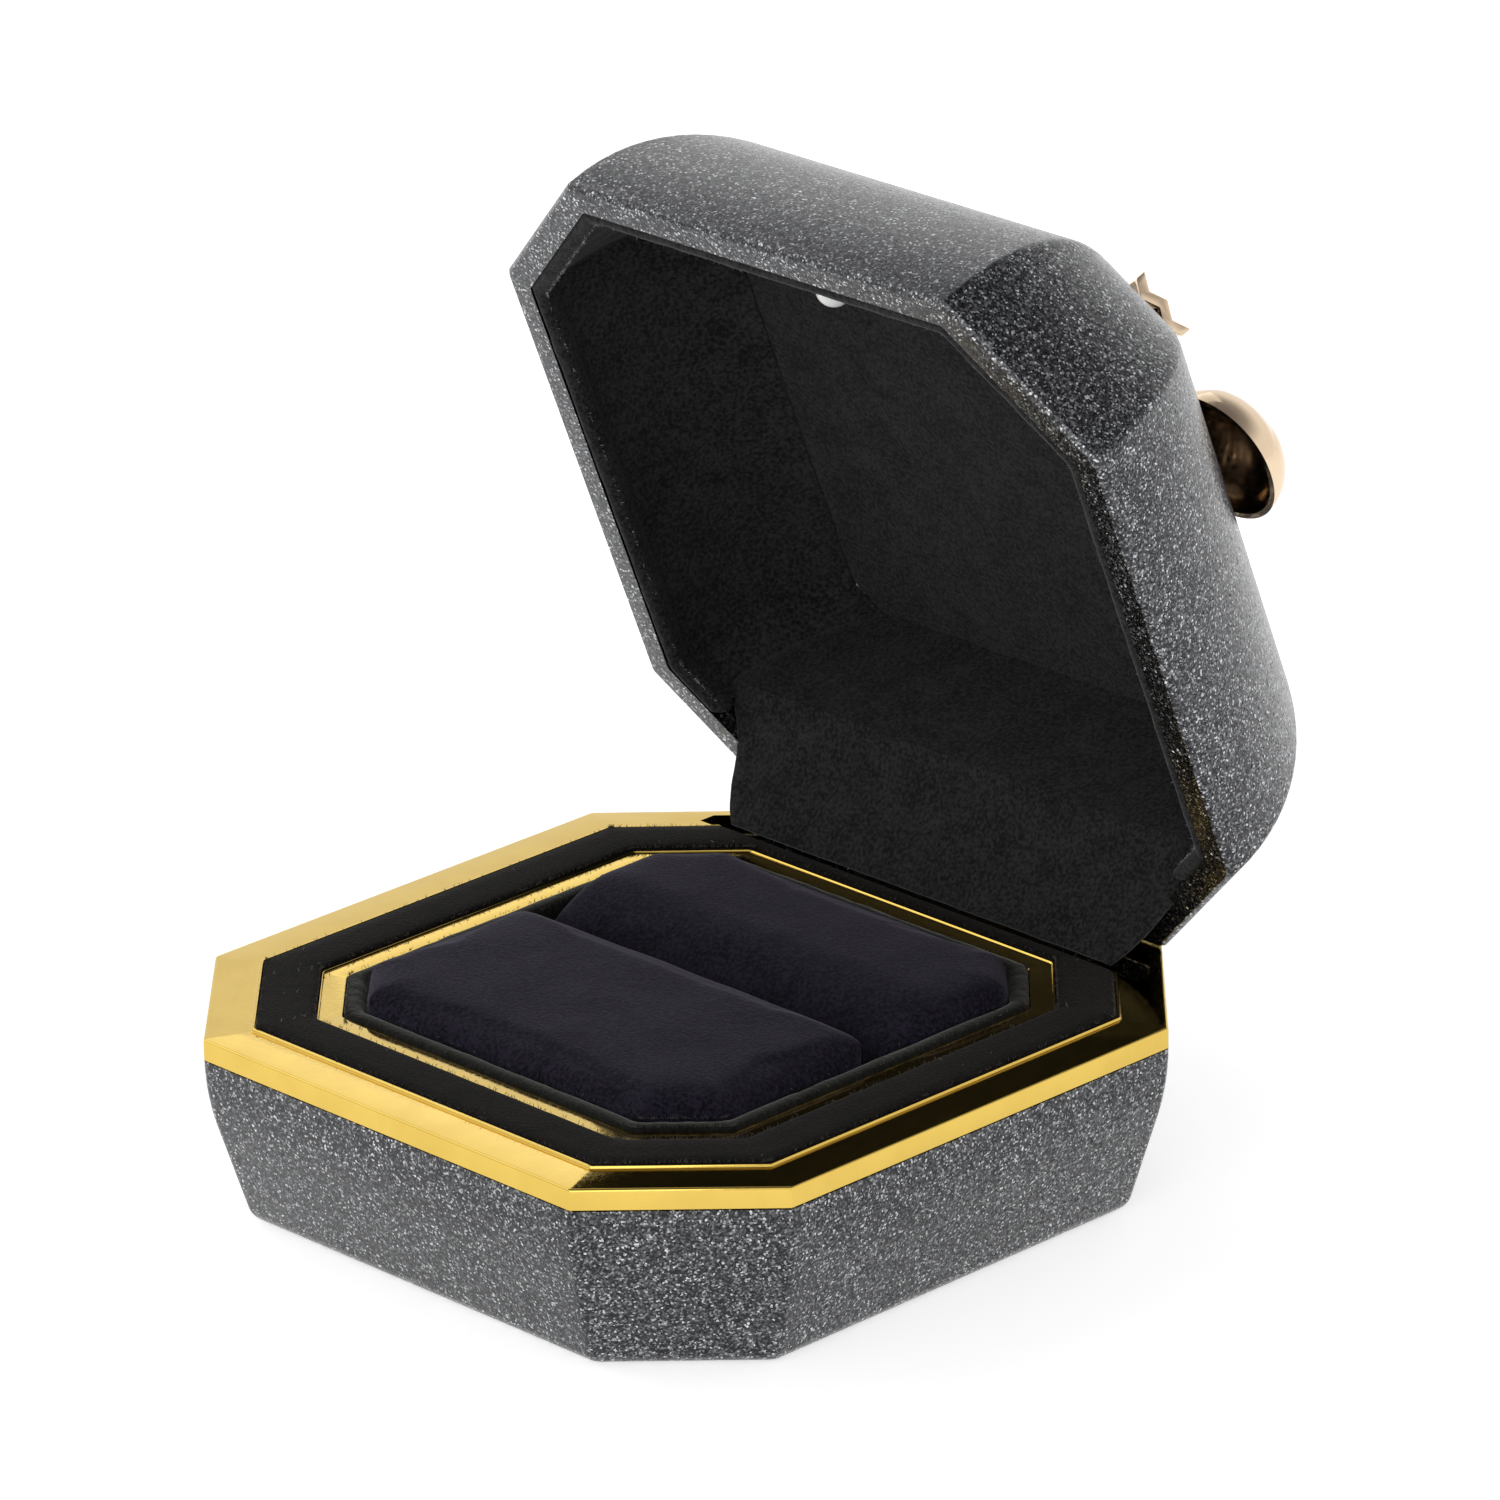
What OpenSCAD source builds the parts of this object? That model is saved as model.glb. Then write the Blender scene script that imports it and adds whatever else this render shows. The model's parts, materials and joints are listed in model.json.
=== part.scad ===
// Hinged ring box: eight-sided base and lid shells, a gold rim, a slotted ring pad, a spring
// hinge behind a velvet cover, a lamp in the lid and a cast bow on top.
// Frame: origin on the floor under the middle of the base, +X along the hinge, +Y towards the
// hinge, +Z up. The parts are drawn with the lid fully open. Millimetres.

/* [Footprint] */
// Width and depth of the closed box
box_w = 65; // [55:0.5:90]
// How much each corner of the square is cut back along a side
corner_cut = 11.85; // [6:0.05:18]

/* [Base] */
// Height of the gold rim's flat top above the floor
base_h = 16.3; // [12:0.1:24]
// Height of the gold band seen from the side
band_h = 1.75; // [1:0.05:4]
// Wall thickness of the base shell
base_wall = 1.3; // [1.1:0.1:2]
// Slope of the base's lower walls from upright, in degrees
base_slope = 16; // [8:0.5:25]
// Radius of the swell under the gold band
base_swell = 22; // [15:0.5:40]
// Radius of the base's bottom edge
base_foot_r = 1.8; // [1:0.1:3]
// Thickness of the base's floor
floor_t = 1.7; // [1:0.1:3]

/* [Rim] */
// Width of the rim's flat top, from the outside to its lip
rim_flat = 3.7; // [2.5:0.05:6]
// Width of the raised lip around the velvet
lip_w = 0.25; // [0.2:0.05:0.6]
// Height of the lip above the flat
lip_h = 0.25; // [0.1:0.05:0.6]
// Inset of the velvet ring's inner edge from the outside of the box
velvet_in = 8.6; // [7:0.05:12]
// Height of the velvet ring's top above the flat
velvet_up = 0.4; // [0.1:0.05:1]
// Inset of the inner gold strip's inner edge
strip_in = 10.7; // [9:0.05:14]
// Distance of the velvet ring's back edge from the middle of the box
velvet_back = 25.4; // [24:0.1:28]

/* [Pad] */
// Inset of the two pad halves from the outside of the box
pad_in = 12.45; // [11:0.05:18]
// Height of the pad's crown above the rim's flat
pad_up = 2.1; // [1:0.1:4]
// Width left between the pad halves for the band of a ring
slot_w = 4.4; // [4.2:0.1:6]
// Distance of the slot's middle behind the middle of the box
slot_mid = 2.5; // [0:0.1:3]
// Height of the tray that carries the pad above the floor
tray_z = 5.45; // [3:0.05:8]

/* [Lid] */
// Wall thickness of the lid shell
lid_wall = 1.5; // [1.2:0.1:2.5]
// Width of the flat rim face around the lid's opening
lid_rim = 2.3; // [1.8:0.05:3.5]
// Radius of the lid's shoulders
lid_r = 21.5; // [12:0.5:26]
// Height of the upright part of the lid's wall
lid_upright = 1; // [0.5:0.1:5]
// Small bevel around the lid's rim
lid_bevel = 0.35; // [0.2:0.05:0.8]
// Thickness of the velvet liner
liner_t = 1.6; // [1:0.05:2.5]
// Height of the velvet ceiling above the lid's rim
ceiling_t = 15.3; // [12:0.1:17]
// Distance of the velvet back panel from the middle of the box, lid closed
panel_y = 22.1; // [20:0.1:24]
// Height of the back panel's lower edge above the lid's rim
panel_t = 3.2; // [2:0.1:6]
// Gap between the two rims when the box is closed
rim_gap = 0.2; // [0.1:0.05:0.5]

/* [Hinge] */
// How far the lid opens, in degrees
open_angle = 68.7; // [60:0.1:95]
// Distance of the hinge pin from the back of the box
pin_in = 0.83; // [0.6:0.01:2]
// Radius of the hinge pin
pin_r = 0.5; // [0.4:0.05:0.8]
// Outer radius of the hinge knuckles
knuckle_r = 1.1; // [1:0.05:1.6]
// Half of the hinge's length
hinge_half = 12; // [8:0.5:18]
// Thickness of the hinge leaves
leaf_t = 0.7; // [0.5:0.05:0.8]

/* [Lamp] */
// Height of the lamp's centre above the lid's rim
lamp_t = 6.2; // [4:0.1:8]
// How far the lens reaches into the lid, from the front of the box
lamp_reach = 10.3; // [6:0.1:12]
// Radius of the lamp's housing
lamp_r = 2.3; // [2:0.1:4.5]
// Radius of the lens
lens_r = 1.5; // [1.2:0.1:3]

/* [Bow] */
// Distance of a loop's end from the middle of the bow
loop_reach = 24.4; // [16:0.1:28]
// Radius of a loop at its full end
loop_r = 5.2; // [4:0.1:8]
// Thickness of the cast walls
cast_t = 1.2; // [0.6:0.05:1.5]
// Reach of a tail's end to the side and to the front
tail_end = [17.2, 14.8];
// Width of a tail at its end
tail_w = 5.6; // [4:0.1:10]

/* [Hidden] */
$fn = 64;
half = box_w / 2;
diag = (2 * half - corner_cut) / sqrt(2);
wide = 3 * box_w;
lid_z = base_h + rim_gap;
lid_top = lid_z + lid_upright + lid_r;
pin_y = half - pin_in;
pin_z = base_h + rim_gap / 2;
notch_half = hinge_half + 0.4;
slot_y = velvet_back + 0.05;
slot_in = 1.1;
slot_half = 24.6;
plate_y = half - base_wall - leaf_t - 0.05;
lid_leaf_y = 28.4;
rivet_z = 10.3;
lid_rivet_z = lid_z + 5.6;
cover_t = 0.6;
fold = [panel_y, lid_z + panel_t];
cover_bend = [25.7, 16.6];
cover_half = [[26.5, panel_y - 0.5], [23.7, 25.9], [21.35, 29.7]];
cover_end = closed([velvet_back + 0.3, base_h + 0.65]);
rivet_x = 7.5;
lid_rivet_x = 4.2;
lamp_front = lid_wall - half + 1.5;
lens_front = lamp_front + 1.05;
lens_nose = 1.5;
lens_body = lamp_reach - half - lens_front - lens_nose;
gold = [0.85, 0.66, 0.25];
paint = [0.16, 0.165, 0.17];
velvet = [0.03, 0.03, 0.035];
plum = [0.05, 0.045, 0.07];
steel = [0.6, 0.6, 0.62];
rose = [0.83, 0.66, 0.48];

// Inset and height of the base's outer wall, from the floor up
base_wall_pts = concat(
    [for (a = [0 : 18.5 : 90 - base_slope])
        [base_foot_inset() - base_foot_r * sin(a), base_foot_r * (1 - cos(a))]],
    [for (a = [-base_slope : base_slope / 4 : 0])
        [base_swell * (1 - cos(a)), base_h - band_h + base_swell * sin(a)]]);
base_hollow_pts = [[base_wall + 4.2, floor_t], [base_wall + 2.7, floor_t + 1.2],
    [base_wall + 0.85, 8.5], [base_wall, 12], [base_wall, base_h]];
function base_foot_inset() = base_swell * (1 - cos(base_slope))
    + tan(base_slope) * (base_h - band_h - base_swell * sin(base_slope)
        - base_foot_r * (1 - sin(base_slope)))
    + base_foot_r * cos(base_slope);

// Inset and height of a surface in the lid, at a distance under its outer surface
function lid_pts(under, low, bevel) = concat(
    [[under + bevel, low], [under, low + bevel]],
    [for (a = [6 : 6 : 90])
        [under + (lid_r - under) * (1 - cos(a)), lid_z + lid_upright + (lid_r - under) * sin(a)]]);

// Inset and height of the velvet's surface in the lid: its side walls follow the shell, and its
// corner walls stand more upright
function liner_pts(under) = concat(
    [[lid_rim + under - 0.35, lid_z + 0.3]],
    [for (t = [1.8 : 1.8 : 16.2])
        [lid_wall + liner_t + under + lid_r - lid_wall - liner_t
            - sqrt(pow(lid_r - lid_wall - liner_t, 2) - pow(t - lid_upright, 2)), lid_z + t]]);
function liner_corner_pts(under) = concat(
    [[lid_rim + under - 0.35, lid_z + 0.3]],
    [for (t = [1.8 : 1.8 : 16.2])
        [lid_wall + liner_t + under + 0.0215 * pow(t - lid_upright, 2), lid_z + t]]);

// Where a point of the open lid lies when the lid is closed, as Y and Z
function closed(p) = [
    pin_y + (p[0] - pin_y) * cos(open_angle) - (p[1] - pin_z) * sin(open_angle),
    pin_z + (p[0] - pin_y) * sin(open_angle) + (p[1] - pin_z) * cos(open_angle)];

// Four prisms, crossed, make an eight-sided solid whose walls all follow one outline
module eight_sided(pts, corner_pts) {
    intersection() {
        crossing(half, 0, pts);
        crossing(half, 90, pts);
        crossing(diag, 45, corner_pts);
        crossing(diag, 135, corner_pts);
    }
}

// The hollow inside the velvet of the lid, less a margin all round
module lid_hollow(under) {
    eight_sided(liner_pts(under), liner_corner_pts(under));
}

module under_shell(under, low) {
    eight_sided(lid_pts(under, low, 0), lid_pts(under, low, 0));
}

module crossing(h, turn, pts) {
    rotate([0, 0, turn])
        rotate([90, 0, 0])
            linear_extrude(wide, center = true)
                polygon(concat(
                    [for (p = pts) [h - p[0], p[1]]],
                    [for (i = [len(pts) - 1 : -1 : 0]) [pts[i][0] - h, pts[i][1]]]));
}

module octagon(inset) {
    h = half - inset;
    c = corner_cut - (2 - sqrt(2)) * inset;
    polygon([[h - c, -h], [h, c - h], [h, h - c], [h - c, h],
        [c - h, h], [-h, h - c], [-h, c - h], [c - h, -h]]);
}

module plate(inset, low, high) {
    translate([0, 0, low])
        linear_extrude(high - low)
            octagon(inset);
}

module ring(outer, inner, low, high) {
    translate([0, 0, low])
        linear_extrude(high - low)
            difference() {
                octagon(outer);
                octagon(inner);
            }
}

// A box given by its middle in X, its size in X, and its Y and Z spans
module span(x, size_x, y0, y1, z0, z1) {
    translate([x - size_x / 2, y0, z0])
        cube([size_x, y1 - y0, z1 - z0]);
}

module rod_y(x, z, y0, y1, r) {
    translate([x, y0, z])
        rotate([-90, 0, 0])
            cylinder(h = y1 - y0, r = r);
}

module rod_x(x0, x1, r) {
    translate([x0, pin_y, pin_z])
        rotate([0, 90, 0])
            cylinder(h = x1 - x0, r = r);
}

// Everything on the lid is drawn closed and turned about the pin
module opened() {
    translate([0, pin_y, pin_z])
        rotate([-open_angle, 0, 0])
            translate([0, -pin_y, -pin_z])
                children();
}

module base_shell() {
    color(paint)
        difference() {
            eight_sided(base_wall_pts, base_wall_pts);
            eight_sided(base_hollow_pts, base_hollow_pts);
            span(0, 2 * notch_half, 28, half - base_wall, rivet_z - 1.3, base_h);
            for (x = [-rivet_x, rivet_x])
                rod_y(x, rivet_z, 30, 31.65, 0.72);
        }
}

module gold_rim() {
    color(gold)
        difference() {
            union() {
                ring(0, rim_flat + 0.01, base_h - band_h + 0.02, base_h);
                ring(rim_flat, rim_flat + lip_w, base_h - band_h + 0.02, base_h + lip_h);
                ring(rim_flat, velvet_in, base_h - band_h + 0.02, base_h - 0.8);
                ring(base_wall + 0.1, base_wall + 1.3, 12.2, base_h - band_h + 0.1);
            }
            intersection() {
                plate(slot_in, 12, lid_z + 1);
                span(0, 2 * slot_half, slot_y, half, 0, lid_top);
            }
            span(0, 2 * notch_half, slot_y, wide, 0, lid_top);
        }
}

module velvet_ring() {
    color(velvet)
        difference() {
            ring(rim_flat + lip_w + 0.02, velvet_in, base_h - 0.78, base_h + velvet_up);
            span(0, wide, velvet_back, wide, 0, lid_top);
        }
}

module inner_strip() {
    color(gold)
        union() {
            ring(velvet_in + 0.05, strip_in, base_h - 0.9, base_h - 0.05);
            ring(velvet_in + 0.05, velvet_in + 0.25, base_h - 0.9, base_h + 0.2);
            ring(velvet_in + 0.7, velvet_in + 1.5, tray_z + 1.02, base_h - 0.8);
        }
}

module pad_riser() {
    color([0.75, 0.72, 0.66])
        ring(9.9, 11.1, floor_t, tray_z);
}

module pad_tray() {
    color([0.75, 0.72, 0.66])
        plate(velvet_in + 0.7, tray_z, tray_z + 1);
}

module pad_border() {
    color(plum)
        ring(strip_in + 0.1, pad_in - 0.05, base_h - 1.2, base_h + 0.2);
}

module pad_block() {
    low = tray_z + 1.05;
    top = base_h + pad_up;
    pts = [[pad_in, low], [pad_in, top - 1.5], [pad_in + 0.4, top - 0.9],
        [pad_in + 1.3, top - 0.5], [pad_in + 3.2, top - 0.2], [pad_in + 6, top]];
    eight_sided(pts, pts);
}

module pad_front() {
    color(plum)
        intersection() {
            pad_block();
            span(0, wide, -half, slot_mid - slot_w / 2, 0, lid_top);
        }
}

module pad_rear() {
    color(plum)
        difference() {
            intersection() {
                pad_block();
                span(0, wide, slot_mid + slot_w / 2, half, 0, lid_top);
            }
            translate([0, slot_mid + slot_w / 2, base_h + pad_up - 2.2])
                rotate([20, 0, 0])
                    span(0, wide, -6, 12, 0, 6);
        }
}

module hinge_base_leaf() {
    color(steel)
        difference() {
            union() {
                span(0, 2 * hinge_half - 0.2, plate_y, plate_y + leaf_t, rivet_z - 1.2, 14.6);
                for (s = [-1, 1]) {
                    span(s * 9.6, 4.6, plate_y, plate_y + leaf_t, 14.5, pin_z);
                    rod_x(s * 9.6 - 2.3, s * 9.6 + 2.3, knuckle_r);
                }
            }
            rod_x(-wide, wide, pin_r);
            for (x = [-rivet_x, rivet_x])
                rod_y(x, rivet_z, 0, wide, 0.72);
        }
}

module hinge_base_rivets() {
    color(steel)
        for (x = [-rivet_x, rivet_x]) {
            rod_y(x, rivet_z, plate_y, 31.6, 0.7);
            rod_y(x, rivet_z, plate_y - 0.3, plate_y, 1);
        }
}

module hinge_pin() {
    color(steel)
        rod_x(-hinge_half - 0.1, hinge_half + 0.1, pin_r);
}

module hinge_spring() {
    coil = pin_r + 0.32;
    color([0.5, 0.5, 0.52])
        union() {
            for (i = [0 : 6])
                translate([-1.5 + 0.5 * i, pin_y, pin_z])
                    rotate([0, 90, 0])
                        rotate_extrude()
                            translate([coil, 0])
                                circle(r = 0.27, $fn = 24);
            translate([-1.5, pin_y - coil, 14.65])
                cylinder(h = pin_z - 14.65, r = 0.22);
        }
}

module lid_shell() {
    color(paint)
        opened()
            difference() {
                union() {
                    difference() {
                        eight_sided(lid_pts(0, lid_z, lid_bevel), lid_pts(0, lid_z, lid_bevel));
                        under_shell(lid_wall, lid_z + 1.2);
                        plate(lid_rim, 0, lid_z + 1.3);
                    }
                    span(0, 14, lid_leaf_y + leaf_t + 0.03, 30.5, lid_z + 1.7, lid_z + 7.4);
                }
                span(0, 2 * notch_half, half - 4, wide, 0, lid_z + 1.6);
                translate([0, pin_y, pin_z])
                    rotate([open_angle - 90 + 1.5, 0, 0])
                        span(0, wide, 0, 6, 0, 6);
                for (y = [-2.6, 2.6])
                    translate([0, y, lid_top - 4])
                        cylinder(h = 5, r = 1);
                for (x = [-lid_rivet_x, lid_rivet_x])
                    rod_y(x, lid_rivet_z, 28.5, 30.7, 0.72);
            }
}

module lid_liner() {
    color(velvet)
        opened()
            difference() {
                union() {
                    intersection() {
                        under_shell(lid_wall + 0.05, lid_z + 1.2);
                        plate(0, lid_z + 1.25, lid_z + ceiling_t - 0.05);
                    }
                    plate(lid_rim + 0.05, lid_z + 0.6, lid_z + 1.3);
                }
                lid_hollow(0);
                span(0, wide, panel_y + 0.85, wide, 0, wide);
                rod_y(0, lid_z + lamp_t, -half, -20, lamp_r + 0.05);
            }
}

module lid_ceiling_panel() {
    color(velvet)
        opened()
            intersection() {
                under_shell(lid_wall + 0.1, lid_z + 2);
                plate(0, lid_z + ceiling_t, lid_z + ceiling_t + 1);
            }
}

module lid_back_panel() {
    color(velvet)
        opened()
            intersection() {
                lid_hollow(0.05);
                under_shell(lid_wall + 0.1, lid_z + 2);
                span(0, wide, panel_y, panel_y + 0.8, lid_z + panel_t, lid_z + ceiling_t - 0.05);
            }
}

module hinge_cover() {
    along = (cover_end - cover_bend) / norm(cover_end - cover_bend);
    back = cover_t * [-along[1], along[0]];
    color(velvet)
        opened()
            intersection() {
                rotate([90, 0, 90])
                    linear_extrude(wide, center = true)
                        polygon([fold - [0, 0.05], cover_bend, cover_end, cover_end + back,
                            cover_bend + back, fold + [0.75, -0.05]]);
                linear_extrude(lid_top)
                    polygon(concat(
                        [for (p = cover_half) [p[0], p[1]]],
                        [for (i = [len(cover_half) - 1 : -1 : 0])
                            [-cover_half[i][0], cover_half[i][1]]]));
            }
}

module hinge_lid_leaf() {
    color(steel)
        opened()
            difference() {
                union() {
                    span(0, 13, lid_leaf_y, lid_leaf_y + leaf_t, pin_z + 0.25, lid_z + 7.2);
                    for (s = [-1, 1]) {
                        span(s * 4.55, 4.4, lid_leaf_y, pin_y, pin_z + 0.25, pin_z + 0.25 + leaf_t);
                        rod_x(s * 4.55 - 2.2, s * 4.55 + 2.2, knuckle_r);
                    }
                }
                rod_x(-wide, wide, pin_r + 0.05);
                for (x = [-lid_rivet_x, lid_rivet_x])
                    rod_y(x, lid_rivet_z, 0, wide, 0.72);
            }
}

module hinge_lid_rivets() {
    color(steel)
        opened()
            for (x = [-lid_rivet_x, lid_rivet_x]) {
                rod_y(x, lid_rivet_z, lid_leaf_y, 30.6, 0.7);
                rod_y(x, lid_rivet_z, lid_leaf_y - 0.3, lid_leaf_y, 1);
            }
}

module lamp_housing() {
    color([0.04, 0.04, 0.045])
        opened()
            difference() {
                rod_y(0, lid_z + lamp_t, lamp_front, lamp_front + 2.4, lamp_r);
                rod_y(0, lid_z + lamp_t, lamp_front + 1, 0, lens_r + 0.02);
            }
}

module lamp_lens() {
    color([1, 1, 1])
        opened()
            translate([0, lens_front, lid_z + lamp_t])
                rotate([-90, 0, 0])
                    rotate_extrude()
                        polygon(concat(
                            [[0, 0], [lens_r, 0], [lens_r, lens_body]],
                            [for (a = [15 : 15 : 75])
                                [lens_r * cos(a), lens_body + lens_nose * sin(a)]],
                            [[0, lens_body + lens_nose]]));
}

module lamp_cell() {
    color([0.7, 0.7, 0.72])
        opened()
            translate([-9, 0, lid_z + ceiling_t + 1.45])
                cylinder(h = 2, r = 6.25);
}

module lamp_cell_holder() {
    color([0.1, 0.1, 0.1])
        opened()
            translate([-9, 0, lid_z + ceiling_t + 1.02])
                difference() {
                    cylinder(h = 2, r = 7);
                    translate([0, 0, 0.4])
                        cylinder(h = 3, r = 6.3);
                }
}

// One loop as a hollow, half-round casting about the bow's long axis
module bow_loop(side) {
    color(rose)
        opened()
            translate([0, 0, lid_top + 0.02])
                difference() {
                    loop_body(0, side);
                    loop_body(cast_t, side);
                    span(0, wide, -half, half, -wide, 0);
                }
}

module loop_body(under, side) {
    r = loop_r - under;
    mid = loop_reach - loop_r;
    rotate([0, 90 * side, 0])
        rotate_extrude()
            polygon(concat(
                [[0, 4.4 + under], [2.3 - under, 4.4 + under]],
                [for (a = [-18 : 12 : 78]) [r * cos(a), mid + r * sin(a)]],
                [[0, loop_reach - under]]));
}

module bow_loop_right() {
    bow_loop(1);
}

module bow_loop_left() {
    bow_loop(-1);
}

module bow_knot() {
    color(rose)
        opened()
            translate([0, 0, lid_top + 0.02])
                difference() {
                    rotate([-90, 0, 0])
                        rotate_extrude()
                            polygon([[0, -4.3], [3.1, -4.3], [3.7, -3.8], [4.2, -2], [4.3, 0],
                                [4.2, 2], [3.7, 3.8], [3.1, 4.3], [0, 4.3]]);
                    span(0, wide, -half, half, -wide, 0);
                }
}

// One wavy tail, a thin casting that spreads towards a front corner of the lid
module bow_tail(side) {
    from = [2.6, 4.75];
    run = norm(tail_end - from);
    waves = [for (i = [0 : 24]) let (s = i / 24)
        [s * run, 0.35 + 0.55 * pow(s, 2) * (1 - cos(s * 900)) - 1.4 * pow(s, 4)]];
    color(rose)
        opened()
            translate([side * from[0], -from[1], lid_top])
                rotate([0, 0, side * -atan2(tail_end[1] - from[1], tail_end[0] - from[0])])
                    mirror([side > 0 ? 0 : 1, 0, 0])
                        intersection() {
                            rotate([90, 0, 0])
                                linear_extrude(wide, center = true)
                                    polygon(concat(waves, [for (i = [24 : -1 : 0])
                                        waves[i] + [0, 0.85]]));
                            translate([0, 0, -5])
                                linear_extrude(20)
                                    polygon([[0, -1.5], [run, -tail_w / 2], [run - 2.4, 0],
                                        [run, tail_w / 2], [0, 1.5]]);
                        }
}

module bow_tail_right() {
    bow_tail(1);
}

module bow_tail_left() {
    bow_tail(-1);
}

module bow_studs() {
    color(rose)
        opened()
            for (y = [-2.6, 2.6])
                translate([0, y, lid_top - 3.6])
                    cylinder(h = 3.6, r = 0.9);
}

module bow_push_nuts() {
    color(steel)
        opened()
            for (y = [-2.6, 2.6])
                translate([0, y, lid_top - lid_wall - 0.55])
                    difference() {
                        cylinder(h = 0.5, r = 2);
                        translate([0, 0, -1])
                            cylinder(h = 2, r = 0.9);
                    }
}

base_shell();
gold_rim();
velvet_ring();
inner_strip();
pad_riser();
pad_tray();
pad_border();
pad_front();
pad_rear();
hinge_base_leaf();
hinge_base_rivets();
hinge_pin();
hinge_spring();
lid_shell();
lid_liner();
lid_ceiling_panel();
lid_back_panel();
hinge_cover();
hinge_lid_leaf();
hinge_lid_rivets();
lamp_housing();
lamp_lens();
lamp_cell();
lamp_cell_holder();
bow_knot();
bow_loop_right();
bow_loop_left();
bow_tail_right();
bow_tail_left();
bow_studs();
bow_push_nuts();
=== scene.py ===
"""Looks for the hinged ring box. Pieces are modelled in millimetres in the CAD frame: base pieces
as they stand, lid pieces with the lid closed and then turned open about the hinge pin."""
import json
import math
import random

import bmesh
import bpy
from mathutils import Matrix, Vector, noise


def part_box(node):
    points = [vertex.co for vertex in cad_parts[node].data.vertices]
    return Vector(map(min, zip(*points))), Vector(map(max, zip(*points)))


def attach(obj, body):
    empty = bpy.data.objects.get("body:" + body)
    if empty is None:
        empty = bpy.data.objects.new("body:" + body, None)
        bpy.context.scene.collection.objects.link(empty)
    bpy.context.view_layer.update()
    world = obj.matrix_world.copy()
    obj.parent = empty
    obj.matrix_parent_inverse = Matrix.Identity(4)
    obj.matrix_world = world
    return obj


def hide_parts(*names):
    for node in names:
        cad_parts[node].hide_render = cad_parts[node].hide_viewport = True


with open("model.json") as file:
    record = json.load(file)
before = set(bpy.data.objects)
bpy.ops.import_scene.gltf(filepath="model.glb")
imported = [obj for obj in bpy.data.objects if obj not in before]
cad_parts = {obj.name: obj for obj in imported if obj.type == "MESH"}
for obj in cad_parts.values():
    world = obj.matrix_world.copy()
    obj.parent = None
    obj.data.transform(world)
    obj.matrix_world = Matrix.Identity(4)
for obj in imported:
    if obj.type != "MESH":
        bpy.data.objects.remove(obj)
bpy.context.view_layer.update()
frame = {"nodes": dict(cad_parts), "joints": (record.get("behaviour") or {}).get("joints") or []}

MM = 0.001
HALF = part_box("base_shell")[1].x / MM
CUT = 11.85  # leg of each cut corner
DIAG = (2 * HALF - CUT) / math.sqrt(2)  # from the middle to a corner wall
VELVET_UP = 0.4  # of the velvet ring above the gold rim
RIM_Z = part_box("velvet_ring")[1].z / MM - VELVET_UP  # the gold rim's flat top
BAND_Z = RIM_Z - 1.75  # foot of the gold band, where the painted tub ends
BASE_WALL = 1.3  # of the painted tub, at its top
GAP = 0.2  # between the rim and the closed lid
LID_Z = RIM_Z + GAP  # the lid's lower edge; a height t in the lid starts here
LID_R = 21.5  # the lid's round shoulder
SHOULDER_Z = LID_Z + 1  # where the shoulder starts
LID_TOP = SHOULDER_Z + LID_R
WALL = 1.5  # of the lid's shell
PANEL_Y = 22.1  # front face of the back panel
CEILING_T = 15.3
LAMP_T = 6.2
LAMP_REACH = 10.3  # from the front of the lid to the nose of the lens
VELVET_BACK = 25.4  # where the velvet ring stops, before the hinge
HINGE_HALF = 12.4  # half width of the slots for the hinge leaves

hinge = frame["joints"][0]
PIN = Vector(hinge["pos_m"])
OPEN = math.radians(hinge["range_deg"][1])
OPENED = Matrix.Translation(PIN) @ Matrix.Rotation(-OPEN, 4, "X") @ Matrix.Translation(-PIN)


# ---------------------------------------------------------------- mesh helpers

def outline(h, d, r, arc=5, side=0):
    """Eight-sided outline with side walls at h and corner walls at d from the middle, its corners
    rounded to radius r, and side extra points along each wall."""
    k = min((d - r) * math.sqrt(2) - (h - r), h - r)
    arcs = []
    for quarter in range(4):
        turn = Matrix.Rotation(quarter * math.pi / 2, 2)
        for cx, cy, start in ((h - r, k, 0), (k, h - r, 45)):
            arcs.append([turn @ Vector((cx + r * math.cos(a), cy + r * math.sin(a)))
                         for a in (math.radians(start + 45 * i / arc) for i in range(arc + 1))])
    points = []
    for i, here in enumerate(arcs):
        after = arcs[(i + 1) % 8][0]
        points += here
        points += [here[-1].lerp(after, (j + 1) / (side + 1)) for j in range(side)]
    return points


def ring(e, z, r, e_corner=None, side=0):
    """One loop of points at inset e from the outside of the box, and at height z; e_corner is the
    inset of its corner walls where that differs."""
    d = DIAG - (e if e_corner is None else e_corner)
    return [Vector((p.x, p.y, z)) for p in outline(HALF - e, d, r, side=side)]


def loft(rings, closed=False, cap=False):
    """A mesh skin through loops of equally many points."""
    bm = bmesh.new()
    loops = [[bm.verts.new(p * MM) for p in points] for points in rings]
    if closed:
        loops.append(loops[0])
    for low, high in zip(loops, loops[1:]):
        for i in range(len(low)):
            j = (i + 1) % len(low)
            bm.faces.new((low[i], low[j], high[j], high[i]))
    if cap:
        bm.faces.new(loops[0])
        bm.faces.new(loops[-1])
    bmesh.ops.remove_doubles(bm, verts=bm.verts, dist=1e-7)
    bmesh.ops.recalc_face_normals(bm, faces=bm.faces)
    return bm


def shrunk(points, scale, rise=0.0):
    """The same loop, drawn in towards the middle and raised."""
    return [Vector((p.x * scale, p.y * scale, p.z + rise)) for p in points]


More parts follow.
